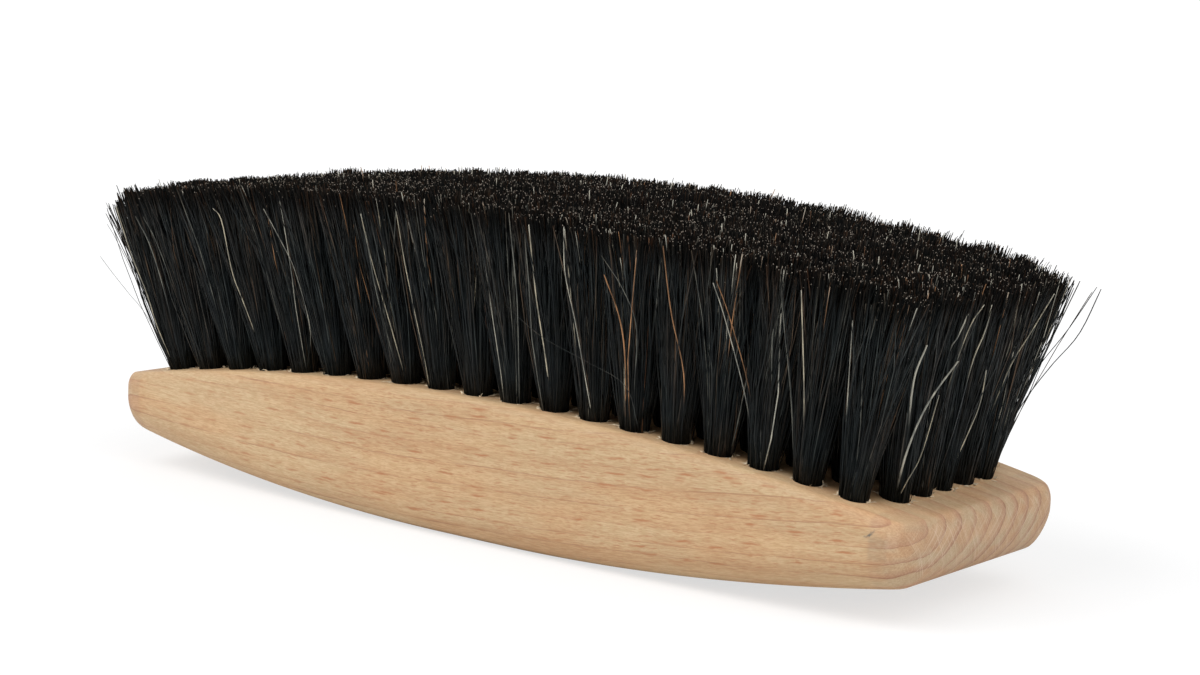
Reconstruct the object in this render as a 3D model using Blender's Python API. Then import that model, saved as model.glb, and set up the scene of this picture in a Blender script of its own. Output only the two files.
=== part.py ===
"""Shoe brush: a beech block filled with nineteen ranks of horsehair tufts.

The brush lies on its back with the bristles up, as it is put away. X runs along the block, Y across it and Z up, and
the origin is the middle of the resting land on the back. All lengths are in metres.
"""
import math

import bmesh
import bpy
from mathutils import Vector

# Block: both faces are arched along its length, the sides are bowed and every edge is rounded over
block_length = 0.190
block_end_width = 0.0564
side_bow = 0.0028
side_bow_power = 2.2
end_thickness = 0.0111
face_rise = 0.0091
back_rise = 0.0077
rest_land_length = 0.016
face_edge_run = 0.0022
face_edge_drop = 0.0028
back_edge_run = 0.0065
back_edge_drop = 0.0072
back_end_run = 0.0040
corner_run = 0.0060
stations_each_side = 10
arc_steps = 4
end_round_angles = [math.radians(angle) for angle in (20, 40, 55, 68, 78, 90)]
end_round_share = 0.99

# Tufts: hair roots in blind holes, laid out in ranks across the block and rows along it
rank_count = 19
row_count = 7
tuft_sides = 6
tuft_radius = 0.0026
tuft_depth = 0.0080
seat_gap = 0.0003
end_margin = 0.0105
corner_setback = 0.0035
side_margin = 0.0054
row_tuck = 0.0010
drill_overrun = 0.0060

# Bristles: three strands to a tuft, fanned out to one trimmed surface
bristle_height = 0.0370
trim_drop = 0.0073
side_flare = 0.0098
end_flare = 0.0066
corner_tuck = 0.0037
lock_gap = 0.0007
strand_fill_share = 0.90
strand_bend_shares = ((0.36, 0.64), (1, 1))

half_length = block_length / 2
half_ranks = (rank_count - 1) / 2
half_rows = (row_count - 1) / 2
rows = [row - half_rows for row in range(row_count)]
inner_reach = half_length - end_margin
outer_reach = inner_reach - corner_setback
face_height = back_rise + end_thickness + face_rise
trim_half_length = inner_reach + tuft_radius + end_flare
cell_length = 2 * trim_half_length / rank_count

beech = ("beech", (0.74, 0.50, 0.30), 0.55)
horsehair = ("horsehair", (0.016, 0.015, 0.016), 0.42)


def clear_scene():
    for item in list(bpy.data.objects):
        bpy.data.objects.remove(item, do_unlink=True)


def new_collection(name):
    collection = bpy.data.collections.new(name)
    bpy.context.scene.collection.children.link(collection)
    return collection


def new_material(name, look):
    finish, colour, roughness = look
    material = bpy.data.materials.new(f"{name}_{finish}")
    material.use_nodes = True
    shader = material.node_tree.nodes["Principled BSDF"]
    shader.inputs["Base Color"].default_value = (*colour, 1)
    shader.inputs["Roughness"].default_value = roughness
    shader.inputs["Metallic"].default_value = 0
    return material


def add_object(name, bm, collection, look):
    """Turns a bmesh into a named object with its own material."""
    bmesh.ops.recalc_face_normals(bm, faces=bm.faces)
    mesh = bpy.data.meshes.new(name)
    bm.to_mesh(mesh)
    bm.free()
    mesh.materials.append(new_material(name, look))
    item = bpy.data.objects.new(name, mesh)
    collection.objects.link(item)
    return item


# Surfaces of the block and of the trim
def half_width(x):
    """Half the block's width where its bowed side crosses station x."""
    return block_end_width / 2 + side_bow * (1 - (abs(x) / half_length) ** side_bow_power)


def face_level(x):
    """Height of the arched face that the tufts stand in."""
    return face_height - face_rise * (x / half_length) ** 2


def back_level(x):
    """Height of the domed back, level across the resting land."""
    land = rest_land_length / 2
    return back_rise * (max(0, abs(x) - land) / (half_length - land)) ** 2


def trim_level(x):
    """Height of the trimmed bristle tips."""
    return face_height + bristle_height - trim_drop * (x / trim_half_length) ** 2


def outer_row(x):
    """How far the outer rows of tufts stand from the middle, drawing in a little more than the block's sides."""
    return half_width(x) - side_margin - row_tuck * (x / inner_reach) ** 2


def trim_half_width(x):
    """Half the width of the trimmed bristle tips at station x."""
    share = abs(x) / trim_half_length
    return outer_row(x) + tuft_radius + side_flare - corner_tuck * share ** 2


# Block
def left_at_end(x, run):
    """Share of an edge's depth that is left at station x, where the block's end rounds over along the run."""
    gone = max(0, (abs(x) - half_length + run) / run) * end_round_share
    return math.sqrt(1 - gone ** 2)


def block_section(x):
    """One closed section across the block, smaller where an end rounds over."""
    width = half_width(x) - corner_run * (1 - left_at_end(x, corner_run))
    face_start = face_level(x) - face_edge_drop
    back_start = back_level(x) + back_edge_drop
    face_round = face_edge_drop * left_at_end(x, face_edge_run)
    back_round = back_edge_drop * left_at_end(x, back_end_run)
    quarter = [math.radians(90) * step / arc_steps for step in range(arc_steps + 1)]
    right = []
    for angle in quarter:
        y = width - face_edge_run + face_edge_run * math.sin(angle)
        right.append((y, face_start + face_round * math.cos(angle)))
    for angle in quarter:
        y = width - back_edge_run + back_edge_run * math.cos(angle)
        right.append((y, back_start - back_round * math.sin(angle)))
    left = [(-y, z) for y, z in reversed(right)]
    return [Vector((x, y, z)) for y, z in right + left]


def block_stations():
    """Places of the sections along the block, close together where the ends round over."""
    land = rest_land_length / 2
    shoulder = half_length - corner_run
    step = (shoulder - land) / (stations_each_side - 1)
    outward = [land + step * index for index in range(stations_each_side)]
    outward += [shoulder + corner_run * math.sin(angle) for angle in end_round_angles]
    return [-x for x in reversed(outward)] + outward


def add_block(collection):
    """Lofts the block through its sections and closes both ends."""
    bm = bmesh.new()
    rings = [[bm.verts.new(point) for point in block_section(x)] for x in block_stations()]
    for ring, following in zip(rings, rings[1:]):
        for index in range(len(ring)):
            bm.faces.new((ring[index - 1], ring[index], following[index], following[index - 1]))
    bm.faces.new(rings[0])
    bm.faces.new(reversed(rings[-1]))
    block = add_object("block", bm, collection, beech)
    block.data.shade_smooth()
    block.data.set_sharp_from_angle(angle=math.radians(35))
    return block


# Ranks of tufts
def root_place(rank, row):
    """Centre of a tuft at the face, counted from the middle rank and the middle row."""
    reach = outer_reach if abs(row) == half_rows else inner_reach
    x = reach * rank / half_ranks
    y = outer_row(x) * row / half_rows
    return Vector((x, y, 0))


def tip_place(rank, row):
    """Centre of the same tuft's cell in the trimmed surface."""
    x = cell_length * rank
    y = 2 * trim_half_width(x) * row / row_count
    return Vector((x, y, 0))


def rank_sheet(rank):
    """Roots of one rank and the slice of the block's face between them, as one sheet that follows the face.

    Each root is a hexagon of three four-sided faces, and the flat edges of neighbouring roots are joined.
    """
    bm = bmesh.new()
    angles = [math.tau * side / tuft_sides for side in range(tuft_sides)]
    root_faces = []
    far_edge = None
    for row in rows:
        place = root_place(rank, row)
        centre = bm.verts.new(place)
        rim = [bm.verts.new(place + tuft_radius * Vector((math.cos(a), math.sin(a), 0))) for a in angles]
        faces = []
        for side in range(0, tuft_sides, 2):
            faces.append(bm.faces.new((centre, rim[side], rim[side + 1], rim[(side + 2) % tuft_sides])))
        root_faces.append(faces)
        near_edge = (rim[5], rim[4])
        if far_edge:
            bm.faces.new((far_edge[0], *near_edge, far_edge[1]))
        far_edge = (rim[1], rim[2])
    for vert in bm.verts:
        vert.co.z = face_level(vert.co.x)
    return bm, root_faces


def sink_sheet(bm):
    """Makes the sheet a solid by extruding it down to the depth of the tufts."""
    made = bmesh.ops.extrude_face_region(bm, geom=bm.faces[:])
    lower = [item for item in made["geom"] if isinstance(item, bmesh.types.BMVert)]
    bmesh.ops.translate(bm, verts=lower, vec=Vector((0, 0, -tuft_depth)))


def strand_corner(rank, row, offset, height_share, spread_share):
    """Place of one corner of a strand, from its offset at the root, at a share of the tuft's height."""
    root = root_place(rank, row)
    tip = tip_place(rank, row)
    cell_width = 2 * trim_half_width(tip.x) / row_count
    flat_radius = tuft_radius * math.cos(math.pi / tuft_sides)
    stretch_x = (cell_length - lock_gap) / (2 * tuft_radius)
    stretch_y = (cell_width - lock_gap) / (2 * flat_radius)
    centre = root.lerp(tip, height_share)
    x = centre.x + offset.x * (1 + (stretch_x - 1) * spread_share)
    y = centre.y + offset.y * (1 + (stretch_y - 1) * spread_share)
    foot = face_level(root.x)
    return Vector((x, y, foot + (trim_level(x) - foot) * height_share))


def raise_strand(bm, face, rank, row):
    """Extrudes one strand from its root face, bent outwards on the tufts that show."""
    root = root_place(rank, row)
    outline = [vert.co - root for vert in face.verts]
    middle = sum(outline, Vector()) / len(outline)
    shows = abs(row) == half_rows or abs(rank) == half_ranks
    for height_share, spread_share in strand_bend_shares if shows else strand_bend_shares[-1:]:
        face = bmesh.ops.extrude_discrete_faces(bm, faces=[face])["faces"][0]
        fill = 1 + (strand_fill_share - 1) * spread_share
        for vert, corner in zip(face.verts, outline):
            vert.co = strand_corner(rank, row, middle.lerp(corner, fill), height_share, spread_share)


def add_rank(number, collection):
    """One rank of tufts: its strands, their roots and the slice of the face that holds the roots together."""
    rank = number - half_ranks
    bm, root_faces = rank_sheet(rank)
    sink_sheet(bm)
    for row, faces in zip(rows, root_faces):
        for face in faces:
            raise_strand(bm, face, rank, row)
    add_object(f"tuft_rank_{number + 1:02d}", bm, collection, horsehair)


def add_seat_cutter(number, collection):
    """The blind seat of one rank: the shape of its roots and slice, grown by the gap and open at the top."""
    bm, _ = rank_sheet(number - half_ranks)
    mouth = bm.verts[:]
    sink_sheet(bm)
    bmesh.ops.recalc_face_normals(bm, faces=bm.faces)
    bm.normal_update()
    growth = [vert.normal * vert.calc_shell_factor() * seat_gap for vert in bm.verts]
    for vert, step in zip(bm.verts, growth):
        vert.co += step
    bmesh.ops.translate(bm, verts=mouth, vec=Vector((0, 0, drill_overrun)))
    cutter = add_object(f"seat_cutter_{number + 1:02d}", bm, collection, beech)
    cutter.display_type = "WIRE"
    cutter.hide_render = True


def drill_block(block, cutters):
    """Cuts every seat from the block."""
    drill = block.modifiers.new("seats", "BOOLEAN")
    drill.operation = "DIFFERENCE"
    drill.operand_type = "COLLECTION"
    drill.collection = cutters
    drill.solver = "EXACT"


def main():
    clear_scene()
    brush = new_collection("shoe_brush")
    cutters = new_collection("cutters")
    block = add_block(brush)
    for number in range(rank_count):
        add_rank(number, brush)
        add_seat_cutter(number, cutters)
    drill_block(block, cutters)


main()
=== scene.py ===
"""Shoe brush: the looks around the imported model.

The beech block, drilled with its round holes, replaces the node block. Each rank of seven horsehair tufts
replaces its node tuft_rank_NN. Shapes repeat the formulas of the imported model, so every hair stands in its
own hole. Lengths are in metres, X runs along the block, Y across it and Z up.
"""
import math

import bmesh
import bpy
import numpy as np
from mathutils import Matrix, Vector


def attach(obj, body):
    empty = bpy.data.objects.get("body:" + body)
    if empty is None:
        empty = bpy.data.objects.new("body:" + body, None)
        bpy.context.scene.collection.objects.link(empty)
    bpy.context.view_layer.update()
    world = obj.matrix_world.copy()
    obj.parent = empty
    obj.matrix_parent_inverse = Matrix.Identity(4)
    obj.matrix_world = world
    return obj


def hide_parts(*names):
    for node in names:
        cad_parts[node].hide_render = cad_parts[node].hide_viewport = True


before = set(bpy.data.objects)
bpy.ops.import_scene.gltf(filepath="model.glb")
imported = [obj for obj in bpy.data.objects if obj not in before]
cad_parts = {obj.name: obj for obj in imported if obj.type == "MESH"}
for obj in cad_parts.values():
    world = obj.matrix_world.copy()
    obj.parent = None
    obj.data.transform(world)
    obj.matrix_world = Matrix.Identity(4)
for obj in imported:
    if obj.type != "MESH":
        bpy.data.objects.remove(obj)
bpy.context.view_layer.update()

MM = 0.001

# Block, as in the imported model
BLOCK_LENGTH = 0.190
BLOCK_END_WIDTH = 0.0564
SIDE_BOW = 0.0028
SIDE_BOW_POWER = 2.2
END_THICKNESS = 0.0111
FACE_RISE = 0.0091
BACK_RISE = 0.0077
REST_LAND_LENGTH = 0.016
FACE_EDGE_RUN = 0.0022
FACE_EDGE_DROP = 0.0028
BACK_EDGE_RUN = 0.0065
BACK_EDGE_DROP = 0.0072
BACK_END_RUN = 0.0040
CORNER_RUN = 0.0060
END_ROUND_SHARE = 0.99

# Tufts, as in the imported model
RANKS = 19
ROWS = 7
TUFT_RADIUS = 0.0026
TUFT_DEPTH = 0.0080
END_MARGIN = 0.0105
CORNER_SETBACK = 0.0035
SIDE_MARGIN = 0.0054
ROW_TUCK = 0.0010
DRILL_OVERRUN = 0.0060
BRISTLE_HEIGHT = 0.0370
TRIM_DROP = 0.0073
SIDE_FLARE = 0.0098
END_FLARE = 0.0066
CORNER_TUCK = 0.0037

HALF_LENGTH = BLOCK_LENGTH / 2
HALF_RANKS = (RANKS - 1) / 2
HALF_ROWS = (ROWS - 1) / 2
INNER_REACH = HALF_LENGTH - END_MARGIN
OUTER_REACH = INNER_REACH - CORNER_SETBACK
FACE_HEIGHT = BACK_RISE + END_THICKNESS + FACE_RISE
TRIM_HALF_LENGTH = INNER_REACH + TUFT_RADIUS + END_FLARE
CELL_LENGTH = 2 * TRIM_HALF_LENGTH / RANKS


# Surfaces
def half_width(x):
    """Half the block's width where its bowed side crosses station x."""
    return BLOCK_END_WIDTH / 2 + SIDE_BOW * (1 - (abs(x) / HALF_LENGTH) ** SIDE_BOW_POWER)


def face_level(x):
    """Height of the arched face that the tufts stand in."""
    return FACE_HEIGHT - FACE_RISE * (x / HALF_LENGTH) ** 2


def back_level(x):
    """Height of the domed back, level across the resting land."""
    land = REST_LAND_LENGTH / 2
    return BACK_RISE * (max(0, abs(x) - land) / (HALF_LENGTH - land)) ** 2


def trim_level(x):
    """Height of the trimmed bristle tips."""
    return FACE_HEIGHT + BRISTLE_HEIGHT - TRIM_DROP * (x / TRIM_HALF_LENGTH) ** 2


def outer_row(x):
    """How far the outer rows of tufts stand from the middle."""
    return half_width(x) - SIDE_MARGIN - ROW_TUCK * (x / INNER_REACH) ** 2


def trim_half_width(x):
    """Half the width of the trimmed bristle tips at station x."""
    share = abs(x) / TRIM_HALF_LENGTH
    return outer_row(x) + TUFT_RADIUS + SIDE_FLARE - CORNER_TUCK * share ** 2


def cell_width(x):
    """Width of one tuft's cell in the trimmed surface."""
    return 2 * trim_half_width(x) / ROWS


def root_place(rank, row):
    """Centre of a tuft at the face, counted from the middle rank and the middle row."""
    reach = OUTER_REACH if abs(row) == HALF_ROWS else INNER_REACH
    x = reach * rank / HALF_RANKS
    return x, outer_row(x) * row / HALF_ROWS


def tip_place(rank, row):
    """Centre of the same tuft's cell in the trimmed surface."""
    x = CELL_LENGTH * rank
    return x, 2 * trim_half_width(x) * row / ROWS


# Camera of the photograph, fitted to the tufts' feet and the block's outline
PITCH = 0.009
CAMERA_YAW = 0.63368
CAMERA_PITCH = 0.15198
CAMERA_ROLL = 0.04932
CAMERA_RIGHT = 0.840 * PITCH
CAMERA_UP = 0.917 * PITCH
CAMERA_DISTANCE = 56.429 * PITCH
FOCAL_PIXELS = 2596.5
PHOTO_WIDTH = 1200
PHOTO_HEIGHT = 675


def camera_frame():
    """The camera's place, and its ways to the right, up and forward."""
    yaw, pitch, roll = CAMERA_YAW, CAMERA_PITCH, CAMERA_ROLL
    forward = Vector((-math.sin(yaw) * math.cos(pitch), math.cos(yaw) * math.cos(pitch), -math.sin(pitch)))
    level = Vector((math.cos(yaw), math.sin(yaw), 0))
    rise = level.cross(forward)
    right = math.cos(roll) * level + math.sin(roll) * rise
    up = math.cos(roll) * rise - math.sin(roll) * level
    target = Vector((0, 0, FACE_HEIGHT)) + right * CAMERA_RIGHT + up * CAMERA_UP
    return target - forward * CAMERA_DISTANCE, right, up, forward


def add_camera():
    place, right, up, forward = camera_frame()
    data = bpy.data.cameras.new("camera")
    data.sensor_width = 36
    data.lens = FOCAL_PIXELS / PHOTO_WIDTH * data.sensor_width
    data.clip_start = 0.01
    item = bpy.data.objects.new("camera", data)
    bpy.context.scene.collection.objects.link(item)
    item.matrix_world = Matrix.Translation(place) @ Matrix((right, up, -forward)).transposed().to_4x4()
    bpy.context.scene.camera = item


# Node trees
class Nodes:
    """Adds nodes to one tree. An input that is given a socket is linked to it."""

    def __init__(self, tree):
        self.tree = tree
        tree.nodes.clear()

    def feed(self, socket, value):
        """Gives an input its constant or its link. A constant colour has three parts."""
        if isinstance(value, bpy.types.NodeSocket):
            self.tree.links.new(value, socket)
        elif socket.type == "RGBA":
            socket.default_value = (*value, 1)
        else:
            socket.default_value = value

    def add(self, kind, inputs=None, **settings):
        node = self.tree.nodes.new(kind)
        for name, value in settings.items():
            setattr(node, name, value)
        for name, value in (inputs or {}).items():
            self.feed(node.inputs[name], value)
        return node

    def math(self, operation, *values):
        return self.add("ShaderNodeMath", dict(enumerate(values)), operation=operation).outputs[0]

    def product(self, first, *others):
        for value in others:
            first = self.math("MULTIPLY", first, value)
        return first

    def vector(self, operation, *values):
        node = self.add("ShaderNodeVectorMath", operation=operation)
        for index, value in enumerate(values):
            self.feed(node.inputs["Scale" if operation == "SCALE" and index == 1 else index], value)
        return node.outputs["Value" if operation == "LENGTH" else "Vector"]

    def turned(self, place, angle, axis):
        turn = self.add("ShaderNodeVectorRotate", {"Vector": place, "Angle": angle}, rotation_type=axis)
        return turn.outputs[0]

    def apart(self, vector):
        """The three parts of a vector."""
        return self.add("ShaderNodeSeparateXYZ", {0: vector}).outputs[:]

    def millimetres(self):
        """The shaded point in millimetres."""
        return self.vector("SCALE", self.add("ShaderNodeTexCoord").outputs["Object"], 1 / MM)

    def step(self, value, low, high, to_low=0.0, to_high=1.0):
        """Smoothly from to_low to to_high as the value goes from low to high."""
        ends = {"Value": value, "From Min": low, "From Max": high, "To Min": to_low, "To Max": to_high}
        return self.add("ShaderNodeMapRange", ends, interpolation_type="SMOOTHSTEP").outputs[0]

    def texture(self, place, stretch, detail, roughness=0.5):
        """Noise with about as many features to each millimetre as the stretch says, along, across and up."""
        place = self.vector("MULTIPLY", place, stretch)
        inputs = {"Vector": place, "Scale": 1.0, "Detail": detail, "Roughness": roughness}
        return self.add("ShaderNodeTexNoise", inputs).outputs

    def noise(self, place, stretch, detail=2.0, roughness=0.5):
        return self.texture(place, stretch, detail, roughness)["Fac"]

    def shake(self, place, stretch, detail, reach):
        """An offset that wanders within half of the reach either way."""
        wander = self.texture(place, stretch, detail)["Color"]
        return self.vector("MULTIPLY", self.vector("SUBTRACT", wander, (0.5, 0.5, 0.5)), reach)

    def mix(self, share, first, second, blend="MIX"):
        node = self.add("ShaderNodeMix", data_type="RGBA", blend_type=blend)
        for index, value in ((0, share), (6, first), (7, second)):
            self.feed(node.inputs[index], value)
        return node.outputs[2]

    def tinted(self, colour, tint, share=1.0):
        return self.mix(share, colour, tint, "MULTIPLY")

    def bands(self, value, stops):
        """The colour of the last stop that the value has passed."""
        node = self.add("ShaderNodeValToRGB", {"Fac": value})
        ramp = node.color_ramp
        ramp.interpolation = "CONSTANT"
        while len(ramp.elements) < len(stops):
            ramp.elements.new(1.0)
        for element, (position, colour) in zip(ramp.elements, stops):
            element.position = position
            element.color = (*colour, 1)
        return node.outputs["Color"]

    def bump(self, height, strength, distance):
        inputs = {"Height": height, "Strength": strength, "Distance": distance}
        return self.add("ShaderNodeBump", inputs).outputs[0]

    def surface(self, inputs):
        shader = self.add("ShaderNodeBsdfPrincipled", inputs)
        self.add("ShaderNodeOutputMaterial", {"Surface": shader.outputs[0]})


def new_nodes(name):
    material = bpy.data.materials.new(name)
    material.use_nodes = True
    return material, Nodes(material.node_tree)


# Floor and light
FLOOR_SIZE = 60
FLOOR_GREY = (0.84, 0.84, 0.84)
FLOOR_SEEN_GREY = (0.36, 0.36, 0.36)
FLOOR_GLOW = 0.67
SUNS = (
    ("key", (-0.35, -0.75, 0.95), 1.35, 38),
    ("fill", (0.66, -0.18, 0.86), 0.85, 60),
)


def add_floor():
    """A white floor. It glows to the camera, so only a soft part of the brush's shadow shows on it."""
    material, nodes = new_nodes("floor_white")
    camera_ray = nodes.add("ShaderNodeLightPath").outputs["Is Camera Ray"]
    nodes.surface({
        "Base Color": nodes.mix(camera_ray, FLOOR_GREY, FLOOR_SEEN_GREY),
        "Roughness": 0.9, "Specular IOR Level": 0.0,
        "Emission Color": (1, 1, 1), "Emission Strength": nodes.product(camera_ray, FLOOR_GLOW),
    })
    bpy.ops.mesh.primitive_plane_add(size=FLOOR_SIZE)
    floor = bpy.context.object
    floor.name = "floor"
    floor.data.materials.append(material)


def add_light():
    """A pale room with a white backdrop, and two wide soft suns. Each sun has its way, energy and spread."""
    world = bpy.data.worlds.new("studio")
    bpy.context.scene.world = world
    world.use_nodes = True
    nodes = Nodes(world.node_tree)
    room = nodes.add("ShaderNodeBackground", {"Color": (0.98, 0.99, 1), "Strength": 0.6})
    backdrop = nodes.add("ShaderNodeBackground", {"Color": (1, 1, 1), "Strength": 1.0})
    camera_ray = nodes.add("ShaderNodeLightPath").outputs["Is Camera Ray"]
    seen = nodes.add("ShaderNodeMixShader", {0: camera_ray, 1: room.outputs[0], 2: backdrop.outputs[0]})
    nodes.add("ShaderNodeOutputWorld", {"Surface": seen.outputs[0]})
    for name, way, energy, spread in SUNS:
        lamp = bpy.data.lights.new(name, "SUN")
        lamp.energy = energy
        lamp.angle = math.radians(spread)
        item = bpy.data.objects.new(name, lamp)
        item.rotation_euler = Vector(way).to_track_quat("Z", "Y").to_euler()
        bpy.context.scene.collection.objects.link(item)


# Beech. Places are in millimetres, and a stretch is the number of features to each one along, across and up
GRAIN_SLOPE = 0.038
GRAIN_SAG = 0.00035
RING_CENTRE = (-31.0, 20.4)
RING_FLATTENING = 0.46
RING_COUNT = (0.14, 0.0009)
RING_SHAKES = (
    ((0.016, 0.055, 0.055), 1.0, (0, 5.0, 4.0)),
    ((0.09, 0.40, 0.40), 2.0, (0, 0.9, 0.8)),
)
RING_BREAKS = (0.06, 0.5, 0.5)
YEAR_SCALE = 0.21
YEAR_SHARE = 0.55
STREAKS = (0.030, 0.33, 0.33)
BLOTCHES = (0.10, 0.14, 0.24)
CLOUDS = (0.034, 0.15, 0.15)
MOTTLE = (0.42, 4.4, 4.4)
FIBRES = (0.26, 3.2, 3.2)
FLECK_WARP = (0.35, 0.35, 0.35)
FLECK_BEND = (3.0, 0.7, 0.7)
FLECKS = (
    ((0.13, 1.25, 1.25), 0.34, 0.43, 1.00),
    ((0.25, 2.5, 2.5), 0.22, 0.48, 0.76),
    ((0.70, 5.0, 5.0), 0.05, 0.58, 0.48),
)
SCRATCHES = (0.3, 6.2, 0.06)
SCRATCH_TURNS = (0.86, -0.62)

SIDE_LIGHT = (0.640, 0.440, 0.255)
SIDE_DARK = (0.575, 0.370, 0.210)
END_LIGHT = (0.560, 0.385, 0.238)
END_DARK = (0.505, 0.322, 0.192)
SIDE_RING_TINT = (0.550, 0.300, 0.160)
END_RING_TINT = (0.470, 0.245, 0.150)
RING_COLOUR = (0.330, 0.145, 0.080)
FLECK_COLOUR = (0.470, 0.200, 0.090)
PORE_COLOUR = (0.380, 0.200, 0.110)
SCRATCH_COLOUR = (0.780, 0.630, 0.470)
BLOTCH_TINTS = ((1.05, 0.955, 0.90), (0.985, 1.02, 1.03))
CLOUD_TINTS = ((1.02, 0.982, 0.955), (0.99, 1.015, 1.03))
MOTTLE_TINTS = ((0.925, 0.880, 0.82), (1.07, 1.09, 1.09))
# Painted light: the upward faces are lighter
FACE_LIGHT_TINT = (1.17, 1.17, 1.17)
RIGHT_TINT = (0.965, 1.0, 1.01)
LEFT_TINT = (1.03, 1.085, 1.11)

# Painted shade: the wood between the tufts is darker, inside the outer rows, which bow with the block's sides
BETWEEN_SHADE_TINT = (0.50, 0.46, 0.42)
BETWEEN_WIDTH = (26.0, 23.0)
BETWEEN_LENGTH = (85.0, 82.0)
BETWEEN_BOW = 0.00045

# Marks of the near right corner: a dark bruise, and painted light and shade on facets that were cut with a
# plane
SMEAR = (0.9, 0.9, 0.9)
SMEAR_REACH = (2.0, 2.0, 2.0)
BRUISE_PLACE = (87.9, -28.6, 17.0)
BRUISE_TURN = 0.80
BRUISE_STRETCH = (0.60, 0.60, 2.0)
BRUISE_COLOUR = (0.130, 0.125, 0.110)
FACET_SMEAR = 0.6
FACET_LIGHT_AND_SHADE = (
    ((89.4, -28.2, 14.6), (1.6, 2.0, 1.9), (0.905, 0.945, 0.98)),
    ((91.7, -27.2, 16.2), (1.00, 2.2, 1.7), (1.07, 1.15, 1.22)),
    ((92.0, -26.4, 12.9), (1.50, 2.6, 0.8), (1.05, 1.10, 1.14)),
)


def along_grain(nodes, place):
    """The place with its height counted from a fibre, which rises along the block and sags in its middle."""
    x, y, z = nodes.apart(place)
    end = HALF_LENGTH / MM
    slope = nodes.math("MULTIPLY_ADD", nodes.math("ADD", x, end), GRAIN_SAG, GRAIN_SLOPE)
    lift = nodes.product(nodes.math("SUBTRACT", x, end), slope)
    height = nodes.math("SUBTRACT", z, lift)
    return nodes.add("ShaderNodeCombineXYZ", {"X": x, "Y": y, "Z": height}).outputs[0]


def beech_rings(nodes, grain):
    """Growth rings about an axis near the front side: the share of late wood, and the line at a ring's end."""
    across = grain
    for stretch, detail, reach in RING_SHAKES:
        across = nodes.vector("ADD", across, nodes.shake(grain, stretch, detail, reach))
    across = nodes.vector("SUBTRACT", across, (0, *RING_CENTRE))
    radius = nodes.vector("LENGTH", nodes.vector("MULTIPLY", across, (0, 1, 1 / RING_FLATTENING)))
    count = nodes.product(radius, nodes.math("MULTIPLY_ADD", radius, RING_COUNT[1], RING_COUNT[0]))
    inputs = {"W": radius, "Scale": YEAR_SCALE, "Detail": 0.0}
    years = nodes.add("ShaderNodeTexNoise", inputs, noise_dimensions="1D").outputs["Fac"]
    count = nodes.math("MULTIPLY_ADD", years, YEAR_SHARE, count)
    ring = nodes.math("FRACT", count)
    number = nodes.math("FLOOR", count)
    drawn = nodes.add("ShaderNodeTexWhiteNoise", {"W": number}, noise_dimensions="1D").outputs["Value"]
    late = nodes.product(nodes.step(ring, 0.30, 0.97), nodes.step(ring, 1.0, 0.975))
    line = nodes.product(nodes.step(ring, 0.885, 0.955), nodes.step(ring, 1.0, 0.985))
    return nodes.product(late, late), nodes.product(line, nodes.step(drawn, 0.0, 1.0, 0.45, 1.0))


def beech_flecks(nodes, grain):
    """Ray flecks: spindles along the grain in three sizes, each size in a share of its cells."""
    warp = nodes.texture(grain, FLECK_WARP, 2.0)["Color"]
    bent = nodes.vector("ADD", grain, nodes.vector("MULTIPLY", warp, FLECK_BEND))
    fleck = 0.0
    for stretch, least, size, darkest in FLECKS:
        place = nodes.vector("MULTIPLY", bent, stretch)
        cells = nodes.add("ShaderNodeTexVoronoi", {"Vector": place, "Scale": 1.0}).outputs
        drawn = nodes.add("ShaderNodeSeparateColor", {0: cells["Color"]}).outputs[0]
        there = nodes.step(drawn, least, least + 0.45)
        spindle = nodes.step(cells["Distance"], 0.10, size, darkest, 0.0)
        fleck = nodes.math("MAXIMUM", fleck, nodes.product(there, spindle))
    return fleck


def sanding_scratches(nodes, place):
    """Crossed straight scratches, as left across the end grain."""
    scratches = []
    for turn in SCRATCH_TURNS:
        lines = nodes.noise(nodes.turned(place, turn, "X_AXIS"), SCRATCHES, 2.0, 0.6)
        scratches.append(nodes.step(lines, 0.555, 0.68))
    return nodes.math("MAXIMUM", *scratches)


def shade_between_tufts(nodes, x, y):
    """Where the wood gets painted shade: 1 between the tufts and 0 outside the outer ones."""
    bow = nodes.product(x, x, BETWEEN_BOW)
    inward = nodes.step(nodes.math("ADD", nodes.math("ABSOLUTE", y), bow), *BETWEEN_WIDTH)
    return nodes.product(inward, nodes.step(nodes.math("ABSOLUTE", x), *BETWEEN_LENGTH))


def box_share(nodes, place, middle, half_size):
    """1 within a box and 0 outside it, with a soft edge."""
    offset = nodes.vector("DIVIDE", nodes.vector("SUBTRACT", place, middle), half_size)
    x, y, z = nodes.apart(nodes.vector("ABSOLUTE", offset))
    furthest = nodes.math("MAXIMUM", nodes.math("MAXIMUM", x, y), z)
    return nodes.step(furthest, 1.30, 0.70)


def bruise_and_facet_light(nodes, place, colour):
    """The bruise, and the painted light and shade of the planed facets of one corner, with smeared edges."""
    smear = nodes.shake(place, SMEAR, 2.0, SMEAR_REACH)
    facet_place = nodes.vector("ADD", place, nodes.vector("SCALE", smear, FACET_SMEAR))
    for middle, half_size, tint in FACET_LIGHT_AND_SHADE:
        colour = nodes.tinted(colour, tint, box_share(nodes, facet_place, middle, half_size))
    away = nodes.vector("SUBTRACT", nodes.vector("ADD", place, smear), BRUISE_PLACE)
    away = nodes.vector("MULTIPLY", nodes.turned(away, BRUISE_TURN, "Y_AXIS"), BRUISE_STRETCH)
    bruise = nodes.step(nodes.vector("LENGTH", away), 1.0, 0.10, 0.0, 0.90)
    return nodes.mix(bruise, colour, BRUISE_COLOUR)


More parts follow.
